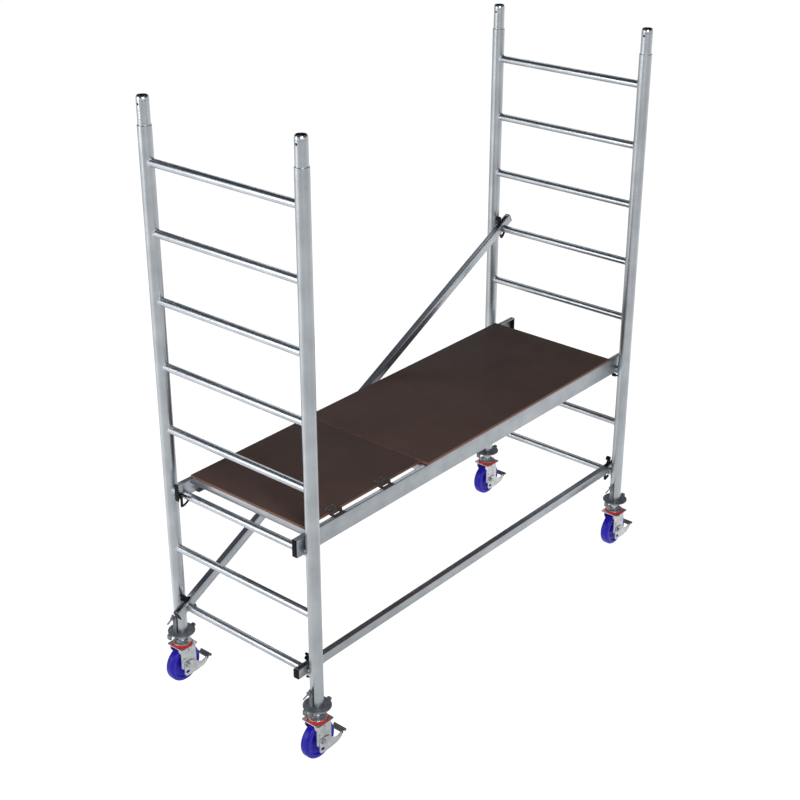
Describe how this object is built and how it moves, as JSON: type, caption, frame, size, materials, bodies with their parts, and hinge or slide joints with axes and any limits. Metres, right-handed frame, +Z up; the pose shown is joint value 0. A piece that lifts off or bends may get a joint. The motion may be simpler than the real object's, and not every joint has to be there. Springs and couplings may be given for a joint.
{
  "type": "frame scaffold section",
  "caption": "Mobile aluminium frame scaffold section: ladder frames, platform with hinged hatch, strut, diagonal and height-adjustable braked swivel castors.",
  "frame": {"origin": "centre of the footprint on the floor, under the middle of the bay", "axes": "+X along the bay from the hatch end to the deck end, +Y across it from the strut side to the diagonal side, +Z up"},
  "size_m": [2.151, 0.826, 2.326],
  "materials": {
    "aluminium_tube": "mill-finish extruded tube with fine drawing lines",
    "aluminium_profile": "mill-finish extruded profile with fine drawing lines",
    "black_plastic": "moulded black polyamide, lightly textured",
    "film_faced_plywood": "dark brown phenolic film with a fine slip-resistant grain",
    "hinge_steel": "zinc-plated steel",
    "dark_steel": "grey coated cast steel",
    "zinc_steel": "bright zinc-plated pressed steel",
    "bolt_steel": "zinc-plated bolt",
    "red_plastic": "moulded red dust ring",
    "blue_wheel": "satin moulded blue polyamide"
  },
  "bodies": {
    "scaffold_frame": {"near_left_post": "aluminium_tube", "far_left_post": "aluminium_tube", "near_right_post": "aluminium_tube", "far_right_post": "aluminium_tube", "spigots": "aluminium_tube", "spigot_rims": "black_plastic", "rungs": "aluminium_tube", "near_rail": "aluminium_profile", "far_rail": "aluminium_profile", "cross_members": "aluminium_profile", "main_deck": "film_faced_plywood", "hinge_fixed_leaves": "hinge_steel", "hinge_pins": "hinge_steel", "rail_end_caps": "black_plastic", "pivot_pins": "hinge_steel", "strut_tube": "aluminium_profile", "brace_tube": "aluminium_profile", "bar_end_caps": "black_plastic", "bar_knobs": "hinge_steel", "nut_retainers": "dark_steel"},
    "hatch": {"hatch_board": "film_faced_plywood", "hinge_moving_leaves": "hinge_steel"},
    "left_windlock": {"left_windlock": "black_plastic"},
    "right_windlock": {"right_windlock": "black_plastic"},
    "strut_left_trigger": {"strut_left_trigger": "black_plastic"},
    "strut_right_trigger": {"strut_right_trigger": "black_plastic"},
    "brace_low_trigger": {"brace_low_trigger": "black_plastic"},
    "brace_high_trigger": {"brace_high_trigger": "black_plastic"},
    "near_left_spindle_nut": {"near_left_spindle_nut": "dark_steel"},
    "near_left_wing_screw": {"near_left_wing_screw": "dark_steel"},
    "near_left_spindle": {"near_left_spindle": "zinc_steel"},
    "near_left_castor": {"near_left_fork": "zinc_steel", "near_left_seal_ring": "red_plastic", "near_left_axle": "bolt_steel"},
    "near_left_wheel": {"near_left_wheel": "blue_wheel"},
    "near_left_brake": {"near_left_brake_lever": "zinc_steel"},
    "far_left_spindle_nut": {"far_left_spindle_nut": "dark_steel"},
    "far_left_wing_screw": {"far_left_wing_screw": "dark_steel"},
    "far_left_spindle": {"far_left_spindle": "zinc_steel"},
    "far_left_castor": {"far_left_fork": "zinc_steel", "far_left_seal_ring": "red_plastic", "far_left_axle": "bolt_steel"},
    "far_left_wheel": {"far_left_wheel": "blue_wheel"},
    "far_left_brake": {"far_left_brake_lever": "zinc_steel"},
    "near_right_spindle_nut": {"near_right_spindle_nut": "dark_steel"},
    "near_right_wing_screw": {"near_right_wing_screw": "dark_steel"},
    "near_right_spindle": {"near_right_spindle": "zinc_steel"},
    "near_right_castor": {"near_right_fork": "zinc_steel", "near_right_seal_ring": "red_plastic", "near_right_axle": "bolt_steel"},
    "near_right_wheel": {"near_right_wheel": "blue_wheel"},
    "near_right_brake": {"near_right_brake_lever": "zinc_steel"},
    "far_right_spindle_nut": {"far_right_spindle_nut": "dark_steel"},
    "far_right_wing_screw": {"far_right_wing_screw": "dark_steel"},
    "far_right_spindle": {"far_right_spindle": "zinc_steel"},
    "far_right_castor": {"far_right_fork": "zinc_steel", "far_right_seal_ring": "red_plastic", "far_right_axle": "bolt_steel"},
    "far_right_wheel": {"far_right_wheel": "blue_wheel"},
    "far_right_brake": {"far_right_brake_lever": "zinc_steel"}
  },
  "joints": [
    {"name": "hatch_hinge", "type": "hinge", "parent": "scaffold_frame", "child": "hatch", "pos_m": [-0.0215, -0.3025, 0.922], "axis": [1, 0, 0], "range_deg": [0, 95]},
    {"name": "right_windlock_turn", "type": "hinge", "parent": "scaffold_frame", "child": "right_windlock", "pos_m": [0.9785, -0.324, 0.861], "axis": [0, -1, 0], "range_deg": [0, 45]},
    {"name": "left_windlock_turn", "type": "hinge", "parent": "scaffold_frame", "child": "left_windlock", "pos_m": [-1.0215, 0.276, 0.861], "axis": [0, 1, 0], "range_deg": [0, 45]},
    {"name": "strut_left_trigger_pull", "type": "hinge", "parent": "scaffold_frame", "child": "strut_left_trigger", "pos_m": [-0.9685, -0.3155, 0.367], "axis": [0, -1, 0], "range_deg": [0, 34], "stiffness_Nm_per_rad": 0.1, "springref_deg": -8.59},
    {"name": "strut_right_trigger_pull", "type": "hinge", "parent": "scaffold_frame", "child": "strut_right_trigger", "pos_m": [0.9255, -0.3155, 0.367], "axis": [0, 1, 0], "range_deg": [0, 34], "stiffness_Nm_per_rad": 0.1, "springref_deg": -8.59},
    {"name": "brace_low_trigger_pull", "type": "hinge", "parent": "scaffold_frame", "child": "brace_low_trigger", "pos_m": [-0.97889, 0.3095, 0.37801], "axis": [0, -1, 0], "range_deg": [0, 34], "stiffness_Nm_per_rad": 0.1, "springref_deg": -8.59},
    {"name": "brace_high_trigger_pull", "type": "hinge", "parent": "scaffold_frame", "child": "brace_high_trigger", "pos_m": [0.92128, 0.3095, 1.35246], "axis": [0, 1, 0], "range_deg": [0, 34], "stiffness_Nm_per_rad": 0.1, "springref_deg": -8.59},
    {"name": "near_left_nut_turn", "type": "hinge", "parent": "scaffold_frame", "child": "near_left_spindle_nut", "pos_m": [-0.9965, -0.36, 0.221], "axis": [0, 0, 1], "range_deg": [0, 5400]},
    {"name": "near_left_leg_extend", "type": "slide", "parent": "scaffold_frame", "child": "near_left_spindle", "axis": [0, 0, -1], "range_m": [0, 0.1205]},
    {"name": "near_left_wing_screw_turn", "type": "hinge", "parent": "scaffold_frame", "child": "near_left_wing_screw", "pos_m": [-1.0365, -0.36, 0.296], "axis": [1, 0, 0], "continuous": true},
    {"name": "near_left_swivel", "type": "hinge", "parent": "near_left_spindle", "child": "near_left_castor", "pos_m": [-0.9965, -0.36, 0.163], "axis": [0, 0, 1], "continuous": true},
    {"name": "near_left_wheel_roll", "type": "hinge", "parent": "near_left_castor", "child": "near_left_wheel", "pos_m": [-1.0005, -0.36, 0.075], "axis": [0, 1, 0], "continuous": true},
    {"name": "near_left_brake_press", "type": "hinge", "parent": "near_left_castor", "child": "near_left_brake", "pos_m": [-1.0005, -0.36, 0.075], "axis": [0, 1, 0], "range_deg": [-14, 0]},
    {"name": "far_left_nut_turn", "type": "hinge", "parent": "scaffold_frame", "child": "far_left_spindle_nut", "pos_m": [-0.9965, 0.36, 0.221], "axis": [0, 0, 1], "range_deg": [0, 5400]},
    {"name": "far_left_leg_extend", "type": "slide", "parent": "scaffold_frame", "child": "far_left_spindle", "axis": [0, 0, -1], "range_m": [0, 0.1205]},
    {"name": "far_left_wing_screw_turn", "type": "hinge", "parent": "scaffold_frame", "child": "far_left_wing_screw", "pos_m": [-1.0365, 0.36, 0.296], "axis": [1, 0, 0], "continuous": true},
    {"name": "far_left_swivel", "type": "hinge", "parent": "far_left_spindle", "child": "far_left_castor", "pos_m": [-0.9965, 0.36, 0.163], "axis": [0, 0, 1], "continuous": true},
    {"name": "far_left_wheel_roll", "type": "hinge", "parent": "far_left_castor", "child": "far_left_wheel", "pos_m": [-1.0005, 0.36, 0.075], "axis": [0, 1, 0], "continuous": true},
    {"name": "far_left_brake_press", "type": "hinge", "parent": "far_left_castor", "child": "far_left_brake", "pos_m": [-1.0005, 0.36, 0.075], "axis": [0, 1, 0], "range_deg": [-14, 0]},
    {"name": "near_right_nut_turn", "type": "hinge", "parent": "scaffold_frame", "child": "near_right_spindle_nut", "pos_m": [0.9535, -0.36, 0.221], "axis": [0, 0, 1], "range_deg": [0, 5400]},
    {"name": "near_right_leg_extend", "type": "slide", "parent": "scaffold_frame", "child": "near_right_spindle", "axis": [0, 0, -1], "range_m": [0, 0.1205]},
    {"name": "near_right_wing_screw_turn", "type": "hinge", "parent": "scaffold_frame", "child": "near_right_wing_screw", "pos_m": [0.9135, -0.36, 0.296], "axis": [1, 0, 0], "continuous": true},
    {"name": "near_right_swivel", "type": "hinge", "parent": "near_right_spindle", "child": "near_right_castor", "pos_m": [0.9535, -0.36, 0.163], "axis": [0, 0, 1], "continuous": true},
    {"name": "near_right_wheel_roll", "type": "hinge", "parent": "near_right_castor", "child": "near_right_wheel", "pos_m": [0.9495, -0.36, 0.075], "axis": [0, 1, 0], "continuous": true},
    {"name": "near_right_brake_press", "type": "hinge", "parent": "near_right_castor", "child": "near_right_brake", "pos_m": [0.9495, -0.36, 0.075], "axis": [0, 1, 0], "range_deg": [-14, 0]},
    {"name": "far_right_nut_turn", "type": "hinge", "parent": "scaffold_frame", "child": "far_right_spindle_nut", "pos_m": [0.9535, 0.36, 0.221], "axis": [0, 0, 1], "range_deg": [0, 5400]},
    {"name": "far_right_leg_extend", "type": "slide", "parent": "scaffold_frame", "child": "far_right_spindle", "axis": [0, 0, -1], "range_m": [0, 0.1205]},
    {"name": "far_right_wing_screw_turn", "type": "hinge", "parent": "scaffold_frame", "child": "far_right_wing_screw", "pos_m": [0.9135, 0.36, 0.296], "axis": [1, 0, 0], "continuous": true},
    {"name": "far_right_swivel", "type": "hinge", "parent": "far_right_spindle", "child": "far_right_castor", "pos_m": [0.9535, 0.36, 0.163], "axis": [0, 0, 1], "continuous": true},
    {"name": "far_right_wheel_roll", "type": "hinge", "parent": "far_right_castor", "child": "far_right_wheel", "pos_m": [0.9495, 0.36, 0.075], "axis": [0, 1, 0], "continuous": true},
    {"name": "far_right_brake_press", "type": "hinge", "parent": "far_right_castor", "child": "far_right_brake", "pos_m": [0.9495, 0.36, 0.075], "axis": [0, 1, 0], "range_deg": [-14, 0]}
  ],
  "couplings": [
    {"joint": "near_left_leg_extend", "follows": "near_left_nut_turn", "m_per_rad": 0.0012732},
    {"joint": "far_left_leg_extend", "follows": "far_left_nut_turn", "m_per_rad": 0.0012732},
    {"joint": "near_right_leg_extend", "follows": "near_right_nut_turn", "m_per_rad": 0.0012732},
    {"joint": "far_right_leg_extend", "follows": "far_right_nut_turn", "m_per_rad": 0.0012732}
  ]
}
